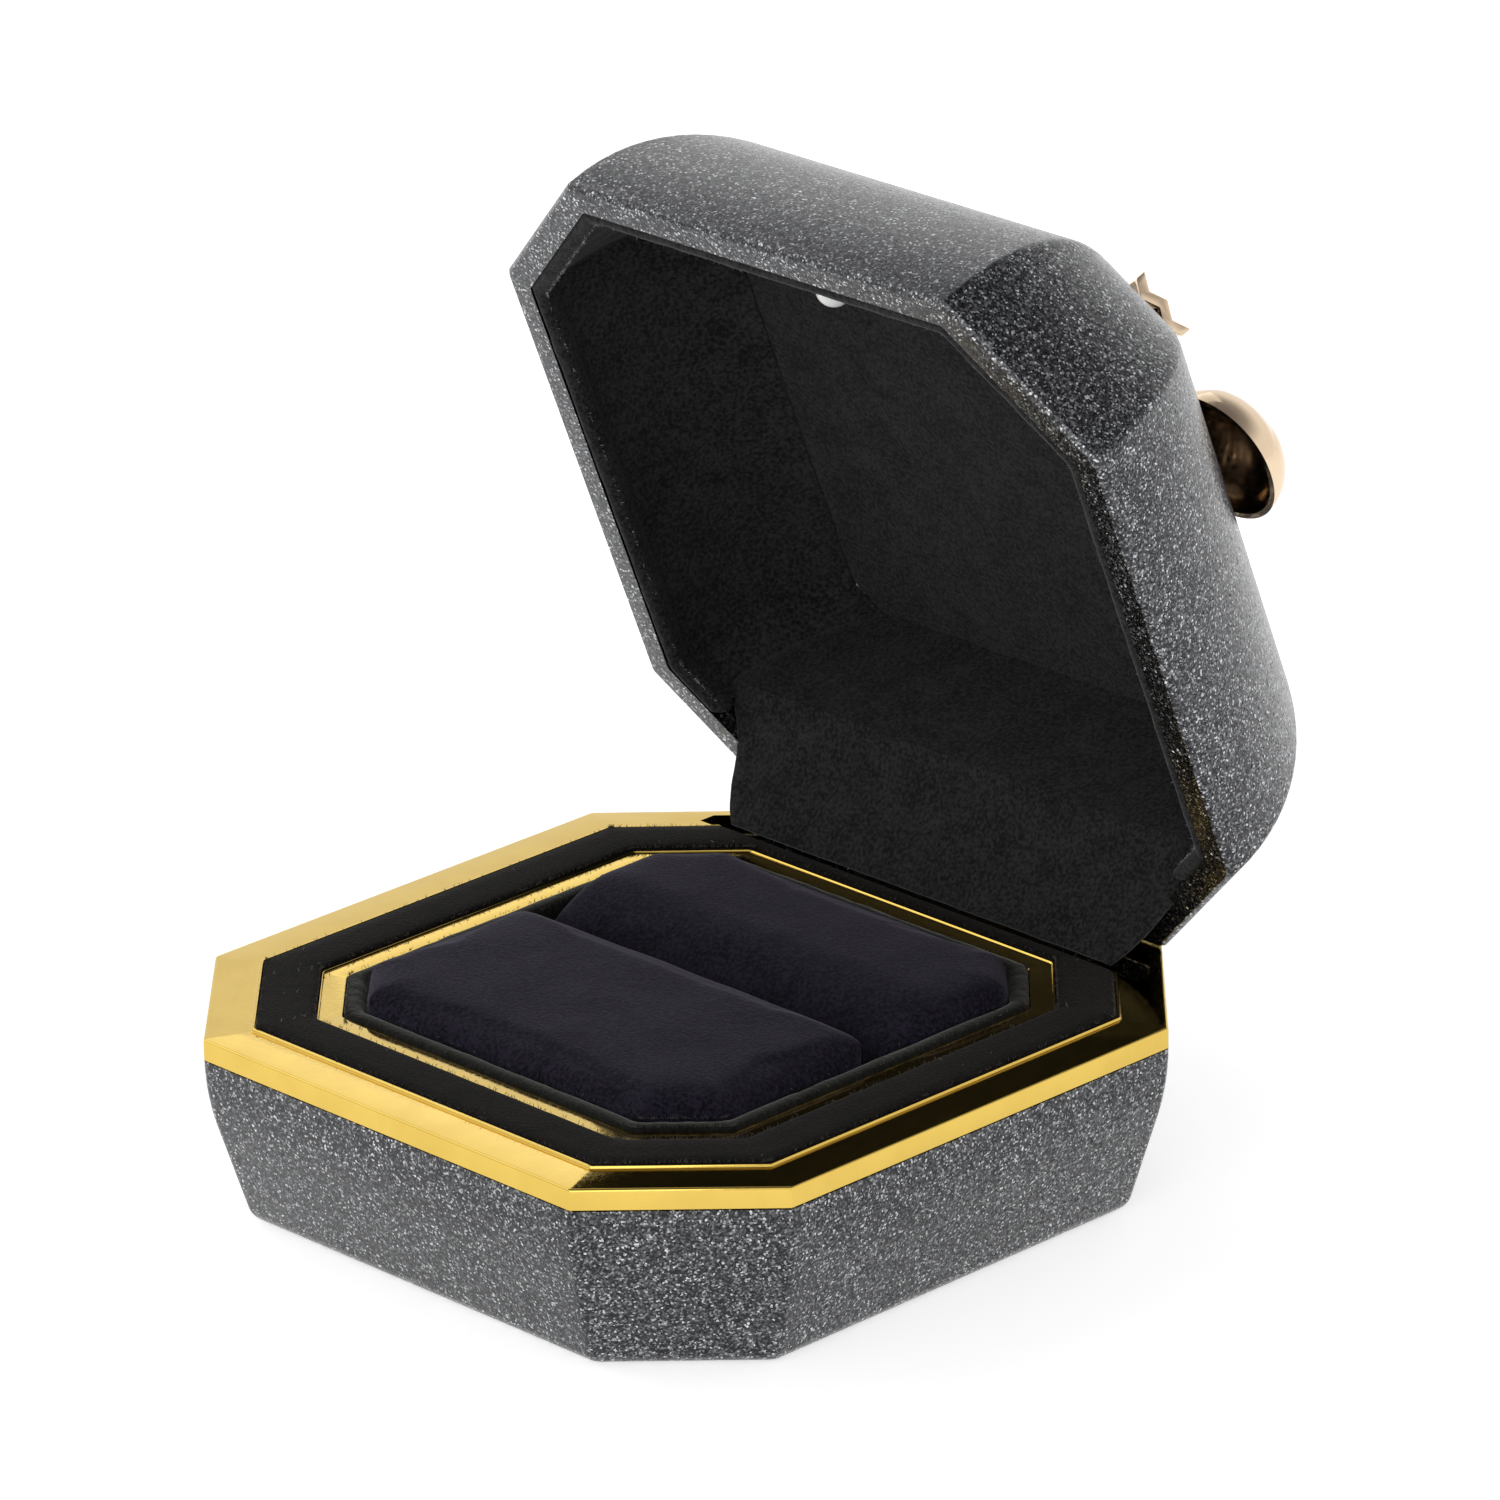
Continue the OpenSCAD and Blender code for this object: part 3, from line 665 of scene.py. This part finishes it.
def cover_stations():
    """The hinge cover runs from the back panel's fold, round a bend, to the velvet ring. Its
    edges run straight until the base's cut corners leave less room, with the lid closed."""
    fold, bend, end = Vector((PANEL_Y, LID_Z + 3.25)), Vector((25.75, 16.6)), Vector((29.0, 10.95))
    fold_half, bend_half = 26.9, 24.4  # half widths of the straight part
    wall_bend_z, wall_slope = 12, 0.243  # the base's inner wall slopes inwards below this height
    into, out = bend.lerp(fold, 0.35), bend.lerp(end, 0.3)
    path = [fold.lerp(into, i / 6) for i in range(6)]
    path += [into.lerp(bend, i / 6).lerp(bend.lerp(out, i / 6), i / 6) for i in range(6)]
    path += [out.lerp(end, i / 9) for i in range(10)]
    stations = []
    for i, p in enumerate(path):
        along = (path[min(i + 1, len(path) - 1)] - path[max(i - 1, 0)]).normalized()
        straight = fold_half + (bend_half - fold_half) * (p.x - PANEL_Y) / (bend.x - PANEL_Y)
        wall_inset = BASE_WALL + wall_slope * max(0.0, wall_bend_z - p.y)
        room = (DIAG - wall_inset) * math.sqrt(2) - (p.x + 0.5) - 0.15
        stations.append((p.x, p.y, along.y, -along.x, min(straight, room), 0.6))
    return stations


cover = slab("cover_velvet", cover_stations())
ruffle(cover, 3.0, 0.06, 9.0)
finish_piece(cover, LID_VELVET_PAINTED_LIGHTER, "velvet", "lid", "hinge_cover", angle=60)

lamp_y = -HALF + WALL + 1.5
nose_y = -HALF + LAMP_REACH
lamp_start = (0, lamp_y, LID_Z + LAMP_T)
collar = 2.4
lens_r = 1.5
housing = to_object("housing_black", lathe(
    [(0, 1.0), (1.52, 1.0), (1.52, collar - 0.1), (1.65, collar), (2.15, collar),
     (2.3, collar - 0.12), (2.3, 0.1), (2.2, 0), (0, 0)], lamp_start))
finish_piece(housing, BLACK, "black_plastic", "lid", "lamp_housing")
dome = [(lens_r * math.cos(a), nose_y - lamp_y - lens_r + lens_r * math.sin(a))
        for a in (math.radians(90) * i / 12 for i in range(13))]
dome[-1] = (0, dome[-1][1])
lens = to_object("lens_milky", lathe([(0, 1.06), (lens_r, 1.06)] + dome, lamp_start))
finish_piece(lens, LENS, "lens", "lid", "lamp_lens", angle=50)


# ---------------------------------------------------------------- bow

def loop_surface(side, under):
    """Rows of points over a ribbon loop, from the knot to its round end, at a depth under its
    outer surface. The loop swells from start to shoulder_x and closes from there to end."""
    along, around = 36, 32
    start, shoulder_x, end = 4.35, 18.2, 24.35 - under
    rows = []
    for i in range(along + 1):
        x = start + (end - start) * math.sin(i / along * math.pi / 2)
        swell = min(1.0, (x - start) / (shoulder_x - start))
        past = max(0.0, x - shoulder_x) / (end - shoulder_x)
        close = max(0.0, 1 - past ** 2.1) ** (1 / 2.1)
        width = (2.2 + 3.7 * swell - under) * close
        height = (1.6 + 3.0 * swell - under) * close
        row = []
        for j in range(around + 1):
            a = math.pi * j / around
            crease = 1 - 0.05 * math.exp(-((a - 1.05) / 0.16) ** 2) * swell * close
            row.append(Vector((side * x, -width * math.cos(a) * crease - 0.35 * swell,
                               LID_TOP + 0.03 + height * math.sin(a) * crease)))
        rows.append(row)
    return rows


def bow_loop(side):
    """A ribbon loop cast as an open-bottomed shell, swelling from the knot to a round end."""
    bm = bmesh.new()
    skins = [[[bm.verts.new(p * MM) for p in row] for row in loop_surface(side, under)]
             for under in (0.0, 0.45)]
    for rows in skins:
        for low, high in zip(rows, rows[1:]):
            for k in range(len(low) - 1):
                bm.faces.new((low[k], low[k + 1], high[k + 1], high[k]))
    outer_rows, inner_rows = skins
    for k in (0, -1):
        for i in range(len(outer_rows) - 1):
            bm.faces.new((outer_rows[i][k], outer_rows[i + 1][k], inner_rows[i + 1][k],
                          inner_rows[i][k]))
    for k in range(len(outer_rows[0]) - 1):
        bm.faces.new((outer_rows[0][k], outer_rows[0][k + 1], inner_rows[0][k + 1],
                      inner_rows[0][k]))
    bmesh.ops.remove_doubles(bm, verts=bm.verts, dist=2e-6)
    bmesh.ops.recalc_face_normals(bm, faces=bm.faces)
    return bm


for side, word in ((1, "right"), (-1, "left")):
    finish_piece(to_object("loop_cast_" + word, bow_loop(side)), ROSE, "rose_gold", "lid",
                 "bow_loop_" + word, angle=35)


def bow_tail(side):
    """A pleated tail that spreads towards a front corner of the lid and follows its shoulder."""
    start, end = Vector((2.6, -4.75)), Vector((17.2, -14.8))
    run = (end - start).length
    ahead = (end - start).normalized()
    aside = Vector((-ahead.y, ahead.x))
    along, across, thick = 40, 12, 1.0
    rings = []
    for i in range(along + 1):
        s = i / along
        half = 1.5 + 1.4 * s
        lift = 0.3 + 0.3 * s ** 2 * (1 - math.cos(math.radians(900) * s)) - 1.5 * s ** 8
        loop = []
        for j in range(across + 1):
            v = 2 * j / across - 1
            pleat = abs((j % 6) / 3 - 1) * 0.8 * s
            p = start + ahead * run * s + aside * half * v
            loop.append(Vector((side * p.x, p.y, LID_TOP + lift + pleat + thick)))
        loop += [Vector((p.x, p.y, p.z - thick)) for p in reversed(loop)]
        rings.append(loop)
    return loft(rings, cap=True)


for side, word in ((1, "right"), (-1, "left")):
    tail = to_object("tail_cast_" + word, bow_tail(side))
    rounded = tail.modifiers.new("edge", "BEVEL")
    rounded.width = 0.12 * MM
    rounded.segments = 2
    rounded.limit_method = "ANGLE"
    applied(tail)
    finish_piece(tail, ROSE, "rose_gold", "lid", "bow_tail_" + word, angle=35)


def bow_knot():
    """The pinched band round the middle of the bow, ribbed across, flat where it meets the lid."""
    bm = bmesh.new()
    along, around = 32, 28
    reach = 4.3  # along Y, each way from the middle
    rows = []
    for i in range(along + 1):
        y = -reach + 2 * reach * i / along
        edge = abs(y) / reach
        r = 4.25 - 1.0 * edge ** 4 + 0.10 * math.cos(y * 4.4)
        rows.append([bm.verts.new(Vector((
            -r * math.cos(a), y, LID_TOP + 0.03 + max(0.0, r * 0.98 * math.sin(a)))) * MM)
            for a in (math.pi * j / around for j in range(around + 1))])
    for low, high in zip(rows, rows[1:]):
        for j in range(around):
            bm.faces.new((low[j], low[j + 1], high[j + 1], high[j]))
    bm.faces.new(rows[0])
    bm.faces.new(rows[-1])
    bm.faces.new([row[0] for row in rows] + [row[-1] for row in reversed(rows)])
    bmesh.ops.recalc_face_normals(bm, faces=bm.faces)
    return bm


finish_piece(to_object("knot_cast", bow_knot()), ROSE, "rose_gold", "lid", "bow_knot", angle=40)


# ---------------------------------------------------------------- loose pile, lint and painted sheen

def fibres(name, material, body, places, longest, thick, seed):
    """Short bent hairs, each a closed three-sided spike: places gives where each may stand, in
    millimetres, and the direction it leaves in."""
    draw = random.Random(seed)
    bm = bmesh.new()
    for start, out in places(draw):
        stray = Vector([draw.uniform(-1, 1) for _ in range(3)])
        ahead = (out + 0.8 * stray).normalized()
        bend = (ahead + 0.7 * Vector([draw.uniform(-1, 1) for _ in range(3)])).normalized()
        aside = ahead.orthogonal().normalized()
        length = draw.uniform(0.35, 1.0) * longest
        turn = ahead.cross(aside)
        around = [aside * math.cos(a) + turn * math.sin(a)
                  for a in (2 * math.pi * k / 3 for k in range(3))]
        middle = start + ahead * length * 0.5
        foot = [bm.verts.new((start + p * thick / 2) * MM) for p in around]
        knee = [bm.verts.new((middle + p * thick / 3) * MM) for p in around]
        tip = bm.verts.new((middle + bend * length * 0.5) * MM)
        bm.faces.new(foot)
        for k in range(3):
            after = (k + 1) % 3
            bm.faces.new((foot[k], foot[after], knee[after], knee[k]))
            bm.faces.new((knee[k], knee[after], tip))
    bmesh.ops.recalc_face_normals(bm, faces=bm.faces)
    return finish_piece(to_object(name, bm), material, "velvet", body)


def along_ring(count, insets, z, back):
    """Places along eight-sided lines at the given insets, up to a back edge."""
    def places(draw):
        left = count
        while left:
            loop = ring(draw.choice(insets), z, 0.7, side=12)
            k = draw.randrange(len(loop))
            start = loop[k].lerp(loop[(k + 1) % len(loop)], draw.random())
            if start.y < back:
                left -= 1
                yield start, Vector((0, 0, 1))
    return places


def along_bead(draw):
    """Places along the rolled edge of the velvet liner, round the front and the sides."""
    for start, _ in along_ring(700, (3.5, 3.65), LID_Z + 0.45, PANEL_Y)(draw):
        yield start, Vector((-start.x, -start.y, 0)).normalized()


def over_velvet(draw):
    """A few specks of lint lying on the ring of velvet."""
    lines = (4.9, 5.9, 6.9, 7.8)
    for start, _ in along_ring(46, lines, RIM_Z + VELVET_UP, VELVET_BACK - 0.5)(draw):
        yield start, Vector((0, 0, 0.15))


fibres("pile_ring", PILE, "base", along_ring(1500, (4.12, 8.52), RIM_Z + 0.25,
                                               VELVET_BACK - 0.4), 0.5, 0.065, 3)
fibres("pile_border", PILE, "base", along_ring(1100, (10.9, 12.5), RIM_Z + 0.2, 30), 0.45,
       0.06, 6)
# Pale fibres all along the liner's rolled edge: a painted sheen on the velvet's edge.
fibres("pile_bead", LINT_AND_SHEEN, "lid", along_bead, 0.4, 0.035, 4)
fibres("lint_ring", LINT_AND_SHEEN, "base", over_velvet, 0.55, 0.035, 5)


# ---------------------------------------------------------------- carried-over CAD nodes

def dress(material, bevel, *names):
    """Gives CAD nodes their material, and softens their edges."""
    for name in names:
        node = frame["nodes"][name]
        node.data.materials.clear()
        node.data.materials.append(material)
        if bevel:
            softened = node.modifiers.new("soft_edges", "BEVEL")
            softened.width = bevel * MM
            softened.segments = 2
            softened.limit_method = "ANGLE"
            softened.angle_limit = math.radians(40)


dress(STEEL, 0.08, "hinge_base_leaf", "hinge_base_rivets", "hinge_lid_leaf", "hinge_lid_rivets",
      "lamp_cell")
dress(STEEL, 0, "hinge_pin", "hinge_spring", "bow_push_nuts")
dress(BOARD, 0.15, "pad_riser", "pad_tray")
dress(BLACK, 0.1, "lamp_cell_holder")
dress(ROSE, 0, "bow_studs")


# ---------------------------------------------------------------- floor, lights and camera

floor = to_object("floor", block(-3000, 3000, -3000, 3000, -20, -0.02))
floor.data.materials.append(simple("pale_floor", (0.86, 0.86, 0.86), (0.88, 0.88, 0.88), 8.0,
                                   0.9, bump=0.0, Emission_Color=(1, 1, 1, 1),
                                   Emission_Strength=0.6))

world = bpy.data.worlds.new("studio")
world.use_nodes = True
bpy.context.scene.world = world
add = node_adder(world.node_tree)
height = add("SeparateXYZ", {"Vector": add("TexCoord").outputs["Generated"]})
sky = ramp(add, height.outputs["Z"], [(0.0, 1.0), (0.42, 0.95), (0.74, (0.34, 0.34, 0.35)),
                                      (1.0, (0.16, 0.16, 0.17))])
background = world.node_tree.nodes["Background"]
connect(background, "Color", sky)
background.inputs["Strength"].default_value = 1.0


def softbox(name, place, aim, size, watts):
    """A soft rectangular light at a place, turned to what it lights."""
    light = bpy.data.lights.new(name, "AREA")
    light.shape = "RECTANGLE"
    light.size, light.size_y = size
    light.energy = watts
    obj = bpy.data.objects.new(name, light)
    obj.location = place
    obj.rotation_mode = "QUATERNION"
    obj.rotation_quaternion = (Vector(aim) - Vector(place)).to_track_quat("-Z", "Y")
    bpy.context.scene.collection.objects.link(obj)


softbox("left_softbox", (-0.75, -0.35, 0.62), (0, 0, 0.03), (0.9, 0.9), 1.8)
softbox("back_softbox", (-0.62, 0.30, 0.66), (0, 0.02, 0.05), (0.8, 0.6), 0.7)
softbox("front_fill", (0.35, -0.85, 0.35), (0, 0, 0.03), (0.8, 0.6), 2.0)

azimuth, elevation, roll = math.radians(45.85), math.radians(21.84), math.radians(-1.07)
width = 2 * HALF * MM  # of the box; the camera's distance and its aim are given in it
distance = 12.114
aim_right, aim_up = 0.0816, 0.2444
focal = 6.68967  # focal length in widths of the picture
back = Vector((math.sin(azimuth) * math.cos(elevation), -math.cos(azimuth) * math.cos(elevation),
               math.sin(elevation)))
right = Vector((math.cos(azimuth), math.sin(azimuth), 0))
upward = back.cross(right)
target = (Vector((0, 0, 0.3)) + right * aim_right + upward * aim_up) * width
camera = bpy.data.objects.new("camera", bpy.data.cameras.new("camera"))
bpy.context.scene.collection.objects.link(camera)
turned_right = right * math.cos(roll) + upward * math.sin(roll)
turned_up = upward * math.cos(roll) - right * math.sin(roll)
facing = Matrix((turned_right, turned_up, back)).transposed()
camera.matrix_world = Matrix.Translation(target + back * distance * width) @ facing.to_4x4()
camera.data.sensor_width = 36
camera.data.lens = focal * camera.data.sensor_width
camera.data.clip_start, camera.data.clip_end = 0.05, 50
bpy.context.scene.camera = camera
bpy.context.scene.view_settings.view_transform = "Standard"
